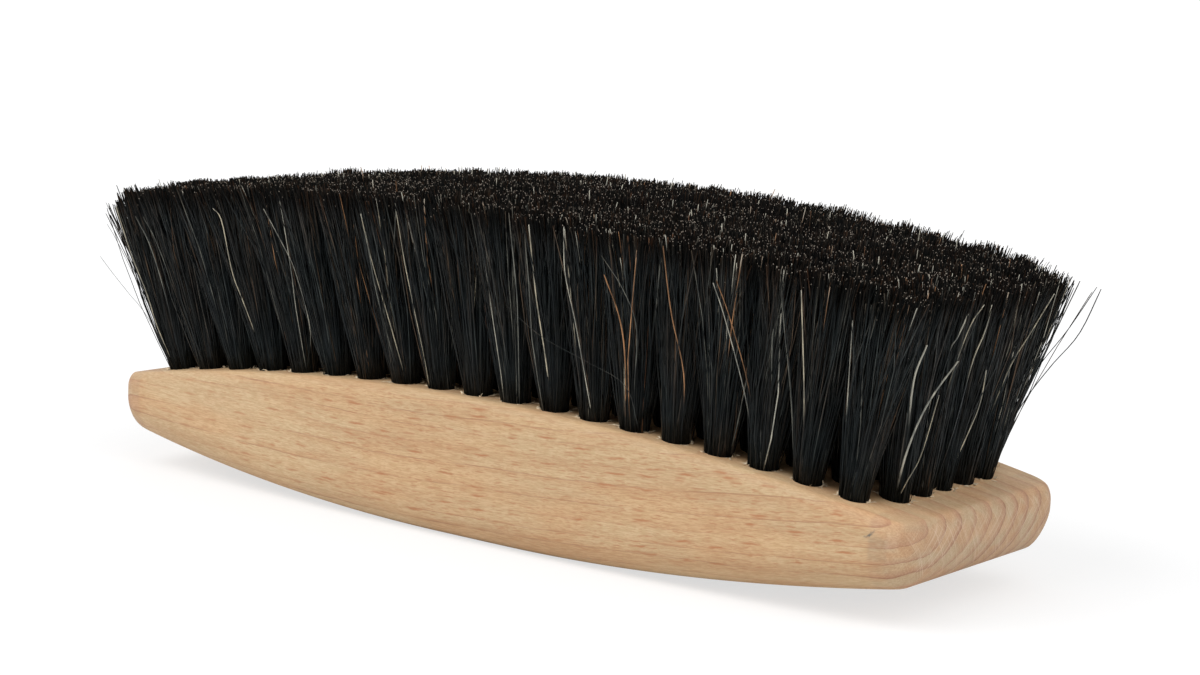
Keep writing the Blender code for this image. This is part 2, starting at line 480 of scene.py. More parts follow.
def beech_material():
    """Oiled beech: rings and ray flecks along the grain, sanded end grain, and the marks of one corner, with
    painted light on the face and the corner's facets and painted shade between the tufts.
    """
    material, nodes = new_nodes("beech_oiled")
    place = nodes.millimetres()
    grain = along_grain(nodes, place)
    x, y, _ = nodes.apart(place)
    reach = nodes.math("ABSOLUTE", x)
    normal_x, _, normal_z = nodes.apart(nodes.add("ShaderNodeTexCoord").outputs["Normal"])
    endways = nodes.math("ABSOLUTE", normal_x)
    face_up = nodes.step(normal_z, 0.50, 0.95)
    near_end = nodes.step(reach, 87.0, 88.4, 0.0, 0.70)
    end_grain = nodes.math("MAXIMUM", nodes.step(endways, 0.07, 0.42), near_end)
    side_grain = nodes.math("SUBTRACT", 1.0, end_grain)

    # Body colour in long soft streaks
    streak = nodes.step(nodes.noise(grain, STREAKS, 3.0), 0.30, 0.70)
    side = nodes.mix(streak, SIDE_LIGHT, SIDE_DARK)
    end = nodes.mix(streak, END_LIGHT, END_DARK)
    colour = nodes.mix(end_grain, side, end)
    blotch = nodes.step(nodes.noise(place, BLOTCHES), 0.40, 0.60)
    colour = nodes.tinted(colour, nodes.mix(blotch, *BLOTCH_TINTS), end_grain)
    cloud = nodes.step(nodes.noise(grain, CLOUDS), 0.38, 0.62)
    colour = nodes.tinted(colour, nodes.mix(cloud, *CLOUD_TINTS), side_grain)

    # Growth rings, broken up along the side, with faint lines on the face
    late, line = beech_rings(nodes, grain)
    faded = nodes.step(nodes.noise(grain, RING_BREAKS), 0.36, 0.62, 0.22, 1.0)
    whole = nodes.math("MAXIMUM", nodes.step(reach, 72.0, 88.0), faded)
    late = nodes.product(late, whole, nodes.math("MULTIPLY_ADD", end_grain, 0.30, 0.45))
    colour = nodes.mix(late, colour, nodes.mix(end_grain, SIDE_RING_TINT, END_RING_TINT))
    line = nodes.product(line, whole, nodes.math("MULTIPLY_ADD", end_grain, 0.20, 0.50))
    colour = nodes.mix(nodes.product(line, nodes.step(face_up, 0.0, 1.0, 1.0, 0.35)), colour, RING_COLOUR)

    # Fine mottling, pores and ray flecks, which fade towards the left end
    mottle = nodes.step(nodes.noise(grain, MOTTLE, 3.0, 0.65), 0.40, 0.62)
    colour = nodes.tinted(colour, nodes.mix(mottle, *MOTTLE_TINTS))
    fibre = nodes.noise(grain, FIBRES, 3.0, 0.6)
    colour = nodes.mix(nodes.step(fibre, 0.42, 0.26, 0.0, 0.25), colour, PORE_COLOUR)
    side_only = nodes.math("SUBTRACT", 1.0, nodes.product(end_grain, 0.88))
    upright = nodes.step(nodes.math("ABSOLUTE", normal_z), 0.25, 0.80, 0.92, 0.20)
    leftward = nodes.step(x, -20.0, -80.0, 1.0, 0.62)
    fleck = nodes.product(beech_flecks(nodes, grain), side_only, upright, leftward)
    colour = nodes.mix(fleck, colour, FLECK_COLOUR)

    # Painted light makes the upward face lighter, the left part is lighter, and painted shade darkens the wood
    # between the tufts
    colour = nodes.tinted(colour, FACE_LIGHT_TINT, face_up)
    colour = nodes.tinted(colour, nodes.mix(nodes.step(x, 10.0, -85.0), RIGHT_TINT, LEFT_TINT))
    colour = nodes.tinted(colour, BETWEEN_SHADE_TINT, nodes.product(shade_between_tufts(nodes, x, y), face_up))

    scratch = nodes.product(sanding_scratches(nodes, place), nodes.step(endways, 0.70, 0.95))
    colour = nodes.mix(nodes.product(scratch, 0.48), colour, SCRATCH_COLOUR)
    colour = bruise_and_facet_light(nodes, place, colour)

    height = nodes.math("MULTIPLY_ADD", fibre, 0.5, nodes.product(fleck, -0.35))
    height = nodes.math("SUBTRACT", height, nodes.product(scratch, 0.5))
    nodes.surface({
        "Base Color": colour, "Roughness": nodes.step(streak, 0.0, 1.0, 0.50, 0.60),
        "Normal": nodes.bump(height, 0.32, 0.00012), "Specular IOR Level": 0.32,
    })
    return material


# Block mesh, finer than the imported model's
STATIONS_EACH_SIDE = 46
END_ROUND_STEPS = 14
ARC_STEPS = 12
FLAT_STEPS = 8
SIDE_STEPS = 4
HOLE_SIDES = 28
SHARP_ANGLE = math.radians(35)


def left_at_end(x, run):
    """Share of an edge's depth that is left at station x, where the block's end rounds over along the run."""
    gone = max(0, (abs(x) - HALF_LENGTH + run) / run) * END_ROUND_SHARE
    return math.sqrt(1 - gone ** 2)


def block_section(x):
    """One closed section across the block, smaller where an end rounds over."""
    width = half_width(x) - CORNER_RUN * (1 - left_at_end(x, CORNER_RUN))
    face_start = face_level(x) - FACE_EDGE_DROP
    back_start = back_level(x) + BACK_EDGE_DROP
    face_round = FACE_EDGE_DROP * left_at_end(x, FACE_EDGE_RUN)
    back_round = BACK_EDGE_DROP * left_at_end(x, BACK_END_RUN)
    quarter = [math.pi / 2 * step / ARC_STEPS for step in range(ARC_STEPS + 1)]
    flat = width - FACE_EDGE_RUN
    right = [(flat * step / FLAT_STEPS, face_start + face_round) for step in range(FLAT_STEPS)]
    for angle in quarter:
        right.append((flat + FACE_EDGE_RUN * math.sin(angle), face_start + face_round * math.cos(angle)))
    for step in range(1, SIDE_STEPS):
        right.append((width, face_start + (back_start - face_start) * step / SIDE_STEPS))
    flat = width - BACK_EDGE_RUN
    for angle in quarter:
        right.append((flat + BACK_EDGE_RUN * math.cos(angle), back_start - back_round * math.sin(angle)))
    for step in range(1, FLAT_STEPS + 1):
        right.append((flat * (1 - step / FLAT_STEPS), back_start - back_round))
    left = [(-y, z) for y, z in reversed(right[1:-1])]
    return [(x, y, z) for y, z in right + left]


def block_stations():
    """Places of the sections along the block, close together where the ends round over."""
    shoulder = HALF_LENGTH - CORNER_RUN
    outward = [shoulder * step / STATIONS_EACH_SIDE for step in range(1, STATIONS_EACH_SIDE + 1)]
    for step in range(1, END_ROUND_STEPS + 1):
        outward.append(shoulder + CORNER_RUN * math.sin(math.pi / 2 * step / END_ROUND_STEPS))
    return [-x for x in reversed(outward)] + [0.0] + outward


def link_mesh(name, mesh, material):
    mesh.materials.append(material)
    item = bpy.data.objects.new(name, mesh)
    bpy.context.scene.collection.objects.link(item)
    return item


def link_bmesh(name, bm, material):
    mesh = bpy.data.meshes.new(name)
    bm.to_mesh(mesh)
    bm.free()
    return link_mesh(name, mesh, material)


def loft_block(beech):
    """The block without its holes, closed at both ends."""
    bm = bmesh.new()
    rings = [[bm.verts.new(point) for point in block_section(x)] for x in block_stations()]
    for ring, following in zip(rings, rings[1:]):
        for index in range(len(ring)):
            bm.faces.new((ring[index - 1], ring[index], following[index], following[index - 1]))
    bm.faces.new(rings[0])
    bm.faces.new(reversed(rings[-1]))
    bmesh.ops.recalc_face_normals(bm, faces=bm.faces)
    return link_bmesh("beech_block", bm, beech)


def add_drill(beech):
    """One round pin for each hole, as a single object."""
    bm = bmesh.new()
    length = TUFT_DEPTH + DRILL_OVERRUN
    for rank in range(RANKS):
        for row in range(ROWS):
            x, y = root_place(rank - HALF_RANKS, row - HALF_ROWS)
            middle = face_level(x) - TUFT_DEPTH + length / 2
            bmesh.ops.create_cone(
                bm, cap_ends=True, segments=HOLE_SIDES, radius1=TUFT_RADIUS, radius2=TUFT_RADIUS,
                depth=length, matrix=Matrix.Translation((x, y, middle)),
            )
    return link_bmesh("drill", bm, beech)


def apply_modifiers(item):
    """Bakes the modifiers into the object's own mesh."""
    bpy.context.view_layer.update()
    graph = bpy.context.evaluated_depsgraph_get()
    made = bpy.data.meshes.new_from_object(item.evaluated_get(graph))
    item.modifiers.clear()
    item.data = made


def add_block(beech):
    """The lofted block with its drilled holes."""
    block = loft_block(beech)
    drill = add_drill(beech)
    cut = block.modifiers.new("holes", "BOOLEAN")
    cut.object = drill
    cut.operation = "DIFFERENCE"
    cut.solver = "EXACT"
    apply_modifiers(block)
    bpy.data.objects.remove(drill, do_unlink=True)
    block.data.shade_smooth()
    block.data.set_sharp_from_angle(angle=SHARP_ANGLE)
    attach(block, "root")
    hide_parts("block")


# Hair. Each hair has a tone from 0 to 1 that picks its colour
BLACK_HAIR = (0.0066, 0.0080, 0.0082)
HAIR_COLOURS = (
    (0.000, BLACK_HAIR),
    (0.380, (0.0105, 0.0122, 0.0122)),
    (0.640, (0.0210, 0.0200, 0.0180)),
    (0.780, (0.0390, 0.0415, 0.0400)),
    (0.870, (0.0600, 0.0430, 0.0290)),
    (0.925, (0.1150, 0.1200, 0.1100)),
    (0.9706, (0.1500, 0.0820, 0.0500)),
    (0.9755, (0.2950, 0.1580, 0.0800)),
    (0.9815, (0.3600, 0.3350, 0.2650)),
    (0.991, (0.3150, 0.3150, 0.2800)),
)
HAIR_TONES = {
    "black": 0.10, "slate": 0.82, "brown": 0.90, "grey": 0.95,
    "rust": 0.9726, "ginger": 0.9785, "straw": 0.986, "pale": 0.996,
}
GREY_TONE = 0.925
LIGHT_TONE = 0.971
LIGHT_TIP = (0.64, 0.615, 0.52)
DARK_TIP_TINT = (0.38, 0.29, 0.24)
CUT_END = (0.335, 0.285, 0.235)
PATCHES = (0.9, 0.9, 0.12)
PATCH_TINTS = ((0.60, 0.60, 0.60), (1.90, 1.80, 1.65))
REGIONS = (0.22, 0.22, 0.05)
REGION_TINTS = ((0.88, 1.0, 1.06), (1.34, 1.10, 0.97))
SPECULAR_TINT = (0.84, 0.95, 1.0)


def hair_material():
    """Black horsehair with brown, ginger and blond hairs in it, duller and mostly darker at the tips."""
    material, nodes = new_nodes("horsehair")
    tone, height, light_from = (
        nodes.add("ShaderNodeAttribute", attribute_name=name).outputs["Fac"]
        for name in ("hair_tone", "hair_height", "hair_light_from")
    )
    # Below its hair_light_from height each hair is painted black: painted shade on its lower part, among the
    # other hairs
    lit = nodes.step(nodes.math("SUBTRACT", height, light_from), -0.09, 0.09)
    colour = nodes.mix(lit, BLACK_HAIR, nodes.bands(tone, HAIR_COLOURS))
    place = nodes.millimetres()
    patch = nodes.noise(place, PATCHES)
    colour = nodes.tinted(colour, nodes.mix(nodes.step(patch, 0.30, 0.75), *PATCH_TINTS))
    region = nodes.step(nodes.noise(place, REGIONS), 0.36, 0.64)
    dark_hair = nodes.step(tone, 0.86, 0.93, 1.0, 0.0)
    colour = nodes.tinted(colour, nodes.mix(region, *REGION_TINTS), dark_hair)

    # Tips: dark ones, bright ones on the lightest hairs, and pale cut ends on some
    dark_tip = nodes.product(nodes.step(height, 0.80, 0.98), nodes.step(tone, 0.925, 0.975, 1.0, 0.25))
    colour = nodes.tinted(colour, DARK_TIP_TINT, dark_tip)
    bright_tip = nodes.product(nodes.step(height, 0.90, 0.97), nodes.step(tone, 0.978, 0.984, 0.0, 0.62))
    colour = nodes.mix(bright_tip, colour, LIGHT_TIP)
    drawn = nodes.math("FRACT", nodes.product(tone, 137.0))
    cut_end = nodes.product(nodes.step(height, 0.9935, 0.9985), nodes.step(drawn, 0.80, 0.96))
    colour = nodes.mix(cut_end, colour, CUT_END)

    sheen = nodes.step(patch, 0.3, 0.7, 0.38, 0.54)
    nodes.surface({
        "Base Color": colour, "Specular Tint": SPECULAR_TINT,
        "Roughness": nodes.math("MAXIMUM", sheen, nodes.step(height, 0.86, 1.0)),
        "Specular IOR Level": nodes.step(height, 0.86, 1.0, 0.26, 0.12),
    })
    return material


# Shape of the tufts that show, on the outer rows and ranks, and of the ones inside
OUTER_HAIRS = 520
INNER_HAIRS = 400
OUTER_LEVELS = np.array([-0.05, 0.16, 0.40, 0.68, 0.97, 1.0])
INNER_LEVELS = np.array([-0.03, 0.50, 0.97, 1.0])
OUTER_SPREAD = 1.04
INNER_SPREAD = 1.22
OUTER_CLUMP_POWER = 1.6
INNER_CLUMP_POWER = 1.1
OUTER_WAVE = 0.00078
INNER_WAVE = 0.00110
SECOND_WAVE = 0.00034
BEND = (0.10, 0.16)

# Tones: inside the brush few hairs are light, and a share of the ginger ones turns to straw, drawn from the
# last digits of the tone. On the outside some of the light ones are dropped
INNER_LIGHT_SHARE = 0.14
INNER_TONE_LIMIT = 0.955
STRAW_SHARE = 0.5
TONE_DIGITS = 5000
LIGHT_KEPT = 0.66
LEFT_LIGHT_KEPT = 0.34
LEFT_RANKS_END = -2
DROPPED_TONE_SHARE = 0.9

# Roots, in the unit disc of a hole, and tips, which are drawn together in locks
ROOT_RADIUS = 0.00252
ROOT_SCATTER = 0.035
LOCKS = 9
LOCK_PULL = (0.16, 0.56)
TIP_SCATTER = 0.00075
LOOSE_SHARE = 0.14
LOOSE_SCATTER = 0.0024
TRIM_SCATTER = 0.00020
LOCK_TRIM_SCATTER = 0.00046
TRIM_LOSS = 0.00018
RAISED_MEAN = 0.0006
RAISED_MOST = 0.0015
OUTER_RAISED_SHARE = 0.25
SHORT_SHARE = 0.10
SHORT_MEAN = 0.10
SHORT_MOST = 0.5
WORN_FROM = 0.4
WORN_MEAN = 0.022
WORN_MOST = 0.12

# The brush's two ends: the tips splay outwards along the brush and drop, by end (-1 left, 1 right)
END_SPLAY = {-1: 0.0043, 1: -0.0004}
END_SPLAY_POWER = 8
END_SPLAY_RISE = 0.62
END_DROP = {-1: 0.0036, 1: 0.0008}
END_DROP_RUN = 0.0070
END_DROP_POWER = 1.5
END_DROP_LIMIT = 1.5

HAIR_RADII = (0.000080, 0.000128)
HAIR_SIDES = 3
TIP_SHARE = 0.72
LIGHT_FROM = (-0.25, 0.85)
GOLDEN_ANGLE = math.pi * (3 - math.sqrt(5))

# Cores of the tufts, from the bottom of the hole to half of the height
CORE_SIDES = 12
CORE_LEVELS = np.array([-0.20, 0.0, 0.15, 0.30, 0.42, 0.50])
CORE_SWELL = np.array([1.0, 1.0, 1.0, 0.95, 0.70, 0.15])
CORE_ROOT_RADIUS = 0.0022
CORE_CELL_SHARE = 0.36
CORE_GAP = 0.0002


def outermost(rank, row):
    """Whether a tuft stands on an outer row or an end rank, where it shows from root to tip."""
    return abs(row) == HALF_ROWS or abs(rank) == HALF_RANKS


def centre_square(disc):
    """Moves points of a unit disc out to the unit square."""
    reach = np.linalg.norm(disc, axis=1)
    longest = np.maximum(np.abs(disc).max(axis=1), 1e-6)
    return disc * (reach / longest)[:, None]


def hair_tones(rank, row, rng, count):
    """Tones of one tuft's hairs: fewer light ones inside the brush and towards its left end."""
    tones = rng.random(count)
    if outermost(rank, row):
        kept = LIGHT_KEPT if rank > LEFT_RANKS_END else LEFT_LIGHT_KEPT
        return np.where((tones < GREY_TONE) | (rng.random(count) < kept), tones, tones * DROPPED_TONE_SHARE)
    tones = np.where(rng.random(count) < INNER_LIGHT_SHARE, tones, tones * INNER_TONE_LIMIT)
    ginger = (tones > LIGHT_TONE) & (tones < HAIR_TONES["straw"]) & (tones * TONE_DIGITS % 1 < STRAW_SHARE)
    return np.where(ginger, HAIR_TONES["straw"], tones)


def hair_roots(rng, count):
    """Roots of one tuft's hairs, spread evenly over a unit disc and then shaken a little."""
    order = np.arange(count)
    reach = np.sqrt((order + 0.5) / count)
    turn = order * GOLDEN_ANGLE + rng.uniform(0, math.tau)
    disc = np.stack([np.cos(turn), np.sin(turn)], 1) * reach[:, None]
    return disc + rng.normal(0, ROOT_SCATTER, disc.shape)


def hair_tips(rank, row, rng, disc):
    """Tips of one tuft's hairs across its cell of the trimmed surface, and the lock that each hair is in."""
    centre = np.array(tip_place(rank, row))
    half_cell = np.array([CELL_LENGTH, cell_width(centre[0])]) / 2
    spread = centre_square(disc)
    outside = spread * (rank, row) > 0
    outside &= np.array([abs(rank) == HALF_RANKS, abs(row) == HALF_ROWS])
    spread *= np.where(outside, OUTER_SPREAD, INNER_SPREAD)
    locks = rng.uniform(-1, 1, (LOCKS, 2))
    nearest = np.argmin(np.linalg.norm(spread[:, None] - locks[None], axis=2), axis=1)
    pull = rng.uniform(*LOCK_PULL, len(disc))[:, None]
    spread = spread * (1 - pull) + locks[nearest] * pull
    return centre + spread * half_cell + rng.normal(0, TIP_SCATTER, disc.shape), nearest


def hair_tops(rank, row, rng, tip, nearest, tones):
    """Heights of the tips: trimmed a little unevenly, lock by lock, with many of the light hairs longer."""
    count = len(tones)
    top = np.array([trim_level(x) for x in tip[:, 0]]) + rng.normal(0, TRIM_SCATTER, count)
    top += rng.normal(0, LOCK_TRIM_SCATTER, LOCKS)[nearest] - rng.exponential(TRIM_LOSS, count)
    share = OUTER_RAISED_SHARE if outermost(rank, row) else 1.0
    raised = (tones > LIGHT_TONE) & (rng.random(count) < share)
    return top + np.where(raised, rng.exponential(RAISED_MEAN, count).clip(0, RAISED_MOST), 0)


def hair_cuts(rank, row, rng, disc):
    """Share of its length that each hair keeps: some are short, and the outermost ones are worn."""
    count = len(disc)
    cut = np.ones(count)
    short = rng.random(count) < SHORT_SHARE
    cut[short] = 1 - rng.exponential(SHORT_MEAN, short.sum()).clip(0, SHORT_MOST)
    for axis, number, last in ((1, row, HALF_ROWS), (0, rank, HALF_RANKS)):
        if abs(number) == last:
            worn = disc[:, axis] * number > WORN_FROM * last
            cut[worn] -= rng.exponential(WORN_MEAN, worn.sum()).clip(0, WORN_MOST)
    return cut


def tuft_paths(rank, row, rng, tones, levels):
    """Centre lines of one tuft's hairs, with each hair's radius."""
    count = len(tones)
    inside = not outermost(rank, row)
    foot_place = np.array(root_place(rank, row))
    disc = hair_roots(rng, count)
    root = foot_place + disc * ROOT_RADIUS
    tip, nearest = hair_tips(rank, row, rng, disc)
    reach = np.abs(tip[:, 0])
    loose = rng.random(count) < LOOSE_SHARE
    tip[loose] += rng.normal(0, LOOSE_SCATTER, (loose.sum(), 2))

    end = 1 if rank > 0 else -1
    splay = end * END_SPLAY[end] * (reach / TRIM_HALF_LENGTH) ** END_SPLAY_POWER
    beyond = (reach - TRIM_HALF_LENGTH + END_DROP_RUN) / END_DROP_RUN
    foot = face_level(foot_place[0])
    top = hair_tops(rank, row, rng, tip, nearest, tones)
    top -= END_DROP[end] * beyond.clip(0, END_DROP_LIMIT) ** END_DROP_POWER

    share = levels[None, :] * hair_cuts(rank, row, rng, disc)[:, None]
    rise = np.clip(share, 0, 1)
    bend = rng.normal(*BEND, count)[:, None]
    lean = share * (1 - bend) + bend * share ** 2
    first_wave = INNER_WAVE if inside else OUTER_WAVE
    wave = np.sin(np.pi * rise)[:, :, None] * rng.normal(0, first_wave, (count, 1, 2))
    wave += np.sin(2 * np.pi * rise)[:, :, None] * rng.normal(0, SECOND_WAVE, (count, 1, 2))
    fan = np.array(tip_place(rank, row)) - foot_place
    own = tip - root - fan
    apart = np.sign(share) * np.abs(share) ** (INNER_CLUMP_POWER if inside else OUTER_CLUMP_POWER)
    flat = root[:, None] + fan * lean[:, :, None] + own[:, None] * apart[:, :, None] + wave
    flat[:, :, 0] += splay[:, None] * rise ** END_SPLAY_RISE
    z = foot + (top - foot)[:, None] * share
    return np.concatenate([flat, z[:, :, None]], 2), rng.uniform(*HAIR_RADII, count)


def hair_rings(paths, radii, rng):
    """Rings of points round each hair, (hairs, levels, sides, 3), the last one smaller."""
    turn = rng.uniform(0, math.tau, len(paths))[:, None] + np.arange(HAIR_SIDES) * math.tau / HAIR_SIDES
    around = np.stack([np.cos(turn), np.sin(turn), np.zeros_like(turn)], 2)
    widths = np.ones(paths.shape[1])
    widths[-1] = TIP_SHARE
    return paths[:, :, None] + around[:, None] * (radii[:, None] * widths)[:, :, None, None]


def core_rings(rank, row):
    """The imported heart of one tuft, which closes it to light."""
    root_x, root_y = root_place(rank, row)
    tip_x, tip_y = tip_place(rank, row)
    foot = face_level(root_x)
    turn = np.arange(CORE_SIDES) * math.tau / CORE_SIDES
    rings = []
    for level, swell in zip(CORE_LEVELS, CORE_SWELL):
        share = max(0, level)
        radius_x, radius_y = (
            (CORE_ROOT_RADIUS + (cell * CORE_CELL_SHARE - CORE_ROOT_RADIUS) * share) * swell
            for cell in (CELL_LENGTH, cell_width(tip_x))
        )
        x = root_x + (tip_x - root_x) * share + radius_x * np.cos(turn)
        y = root_y + (tip_y - root_y) * share + radius_y * np.sin(turn)
        z = max(foot + (trim_level(tip_x) - foot) * level, foot - TUFT_DEPTH + CORE_GAP)
        rings.append(np.stack([x, y, np.full(CORE_SIDES, z)], 1))
    return np.array(rings)[None]


class TubeMesh:
    """Gathers closed tubes, each a stack of rings.

    Each tube has a tone and the height from which its own colour shows, below which it is painted black as
    painted shade, and each ring has a height.
    Each tube also has its own column of the baked texture, so that tubes of like tones lie side by side.
    """

    def __init__(self):
        self.points, self.maps = [], []
        self.layers = {"hair_tone": [], "hair_light_from": [], "hair_height": []}
        self.corners, self.sizes, self.smooth = [], [], []
        self.total = 0

    def add(self, rings, tones, light_from, heights, column, columns):
        count, levels, sides, _ = rings.shape
        index = self.total + np.arange(count * levels * sides).reshape(count, levels, sides)
        following = np.roll(index, -1, axis=2)
        walls = np.stack([index[:, :-1], following[:, :-1], following[:, 1:], index[:, 1:]], 3).reshape(-1, 4)
        bottoms = index[:, 0, ::-1]
        tops = index[:, -1]
        for faces, smooth in ((walls, True), (bottoms, False), (tops, False)):
            self.corners.append(faces.ravel())
            self.sizes.append(np.full(len(faces), faces.shape[1]))
            self.smooth.append(np.full(len(faces), smooth))
        self.points.append(rings.reshape(-1, 3))
        self.layers["hair_tone"].append(np.repeat(tones, levels * sides))
        self.layers["hair_light_from"].append(np.repeat(light_from, levels * sides))
        self.layers["hair_height"].append(np.tile(np.repeat(heights, sides), count))
        across = (column[:, None, None] + np.linspace(0.15, 0.85, sides)) / columns
        across = np.broadcast_to(across, (count, levels, sides)).ravel()
        up = np.tile(np.repeat(np.linspace(0.02, 0.98, levels), sides), count)
        self.maps.append(np.stack([across, up], 1))
        self.total += count * levels * sides

    def finish(self, name, material):
        points = np.concatenate(self.points)
        corners = np.concatenate(self.corners)
        sizes = np.concatenate(self.sizes)
        mesh = bpy.data.meshes.new(name)
        mesh.vertices.add(len(points))
        mesh.vertices.foreach_set("co", points.astype(np.float32).ravel())
        mesh.loops.add(len(corners))
        mesh.loops.foreach_set("vertex_index", corners.astype(np.int32))
        mesh.polygons.add(len(sizes))
        mesh.polygons.foreach_set("loop_start", (np.cumsum(sizes) - sizes).astype(np.int32))
        mesh.polygons.foreach_set("loop_total", sizes.astype(np.int32))
        mesh.polygons.foreach_set("use_smooth", np.concatenate(self.smooth))
        for title, values in self.layers.items():
            layer = mesh.attributes.new(title, "FLOAT", "POINT")
            layer.data.foreach_set("value", np.concatenate(values).astype(np.float32))
        chart = mesh.uv_layers.new(name="OFBake")
        chart.data.foreach_set("uv", np.concatenate(self.maps)[corners].astype(np.float32).ravel())
        mesh.update(calc_edges=True)
        mesh.validate()
        return link_mesh(name, mesh, material)


def add_rank(number, horsehair):
    """One rank of seven tufts: their hairs, then their cores."""
    rank = number - 1 - HALF_RANKS
    rows = [row - HALF_ROWS for row in range(ROWS)]
    rng = np.random.default_rng(7100 + number)
    groups = []
    for row in rows:
        shows = outermost(rank, row)
        levels = OUTER_LEVELS if shows else INNER_LEVELS
        count = OUTER_HAIRS if shows else INNER_HAIRS
        tones = hair_tones(rank, row, rng, count)
        paths, radii = tuft_paths(rank, row, rng, tones, levels)
        rings = hair_rings(paths, radii, rng)
        groups.append((rings, tones, rng.uniform(*LIGHT_FROM, count), np.clip(levels, 0, 1)))
    for row in rows:
        groups.append((core_rings(rank, row), np.zeros(1), np.zeros(1), np.clip(CORE_LEVELS, 0, 1)))
    tones = np.concatenate([group[1] for group in groups])
    column = np.empty(len(tones))
    column[np.argsort(tones, kind="stable")] = np.arange(len(tones))
    tubes = TubeMesh()
    start = 0
    for rings, tone, light_from, heights in groups:
        tubes.add(rings, tone, light_from, heights, column[start:start + len(tone)], len(tones))
        start += len(tone)
    item = tubes.finish(f"horsehair_rank_{number:02d}", horsehair)
    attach(item, "root")
    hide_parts(f"tuft_rank_{number:02d}")


# Hairs that stand out from the rest: on the bristles' front, on their right end, and loose beside the brush.
# Each has its tone, half thickness, the share of the height from which the tone shows, root, stand, and the
# pixels of the photograph that it passes on its way to the tip. The root is an x on the front and a y at an
# end. The stand is how far the tip is off the bristles, and on a loose hair the y of the whole hair. Lengths
# here are in millimetres
# Below the share of the height from which its tone shows, a hair is painted black as painted shade
FRONT_STRAYS = (
    ("ginger", 0.165, -1, 35.2, 1.6, ((624, 362), (619, 318), (604, 275))),
    ("grey", 0.113, 0.35, 37.6, 0.7, ((633, 392), (636, 329), (623, 290), (601, 255))),
    ("straw", 0.139, 0.15, 18.8, 0.7, ((544, 354), (536, 296), (529, 225))),
    ("pale", 0.122, 0.1, 27.9, 0.7, ((586, 389), (575, 323), (565, 273), (564, 227))),
    ("brown", 0.113, 0.0, 28.4, 0.7, ((577, 330), (561, 260), (553, 226))),
    ("ginger", 0.131, 0.30, 47.2, 0.7, ((683, 377), (671, 313), (663, 246))),
    ("grey", 0.113, 0.1, 11.2, 0.7, ((517, 323), (516, 286), (509, 213))),
    ("slate", 0.078, -1, 38.1, 3.6, ((624, 386), (585, 361), (541, 336), (505, 304))),
    ("straw", 0.148, 0.1, -82.1, 2.2, ((157, 327), (147, 292), (133, 255), (118, 207))),
    ("grey", 0.122, 0.35, -79.6, 0.9, ((166, 300), (151, 247), (136, 216))),
    ("rust", 0.131, 0.45, -78.7, 0.9, ((172, 290), (157, 243), (144, 217))),
    ("straw", 0.122, 0.1, -53.8, 0.7, ((243, 304), (232, 272), (222, 221), (213, 208))),
    ("pale", 0.113, 0.25, -42.9, 0.7, ((309, 330), (295, 272), (281, 241), (264, 209))),
    ("pale", 0.104, 0.1, -43.0, 0.7, ((295, 310), (291, 272), (284, 224), (280, 200))),
    ("rust", 0.122, 0.3, -18.3, 0.7, ((389, 345), (376, 290), (366, 232))),
    ("straw", 0.113, 0.15, -16.5, 0.7, ((388, 320), (372, 262), (361, 214))),
    ("pale", 0.122, 0.35, 62.5, 0.7, ((745, 400), (725, 320), (713, 283))),
    ("ginger", 0.113, 0.4, 63.2, 0.7, ((748, 390), (730, 320), (716, 280))),
    ("straw", 0.104, 0.3, 71.9, 0.7, ((803, 400), (802, 330), (801, 290))),
    ("grey", 0.113, 0.2, 70.3, 0.7, ((790, 400), (784, 330), (781, 289))),
)
END_STRAYS = (
    ("pale", 0.2, 0.45, -16.0, 1.5, ((909, 430), (914, 378), (926, 345))),
    ("pale", 0.209, 0.18, -16.5, 1.5, ((907, 456), (920, 419), (935, 391), (957, 361))),
    ("pale", 0.183, 0.62, -9.0, 1.5, ((930, 430), (948, 356), (957, 337), (967, 314))),
    ("straw", 0.131, 0.45, -8.4, 1.5, ((945, 400), (968, 330), (983, 305))),
    ("straw", 0.174, 0.5, -1.9, 1.5, ((955, 430), (972, 363), (983, 334), (991, 305))),
    ("straw", 0.148, 0.42, 6.2, 1.5, ((985, 430), (1010, 367), (1029, 334), (1053, 294))),
    ("straw", 0.131, 0.0, -16.0, 1.5, ((909, 480), (921, 454), (938, 395))),
    ("straw", 0.122, 0.1, 1.9, 1.5, ((968, 435), (979, 404), (985, 370))),
)
LOOSE_STRAYS = (
    ("black", 0.139, -1, 17.0, 20.0, ((1023, 406), (1051, 367), (1079, 334), (1101, 289))),
    ("black", 0.104, -1, 16.8, 18.0, ((1010, 420), (1038, 369), (1068, 330), (1097, 287))),
    ("black", 0.087, -1, 9.6, 14.0, ((1000, 421), (1034, 365), (1055, 320), (1066, 283))),
    ("black", 0.087, -1, 9.0, 14.0, ((1001, 411), (1040, 355), (1059, 325), (1067, 298))),
    ("black", 0.061, -1, -23.6, -24.0, ((145, 315), (128, 293), (111, 271), (100, 256))),
    ("black", 0.061, -1, -22.5, -22.0, ((140, 290), (122, 252), (113, 234), (107, 224))),
    ("black", 0.061, -1, -17.0, -18.0, ((153, 297), (137, 253), (129, 224), (126, 196))),
)
END_ROOT_RADIUS = 0.0022
ROOT_SINK = 0.0002
ROOT_RISE = 0.0006
STRAY_GAP = 0.0003
STRAY_LEVELS = 18
STRAY_TUCK = 0.7
STRAY_HEIGHT = 0.97
STRAY_DEPTH = (0, 0, 2.0)
SIGHT_STEPS = 60
SIGHT_STEP_SHARE = 0.7


def bristle_share(x, z):
    """Share of the bristles' height that a point is at."""
    return (z - face_level(x)) / (trim_level(x) - face_level(x))


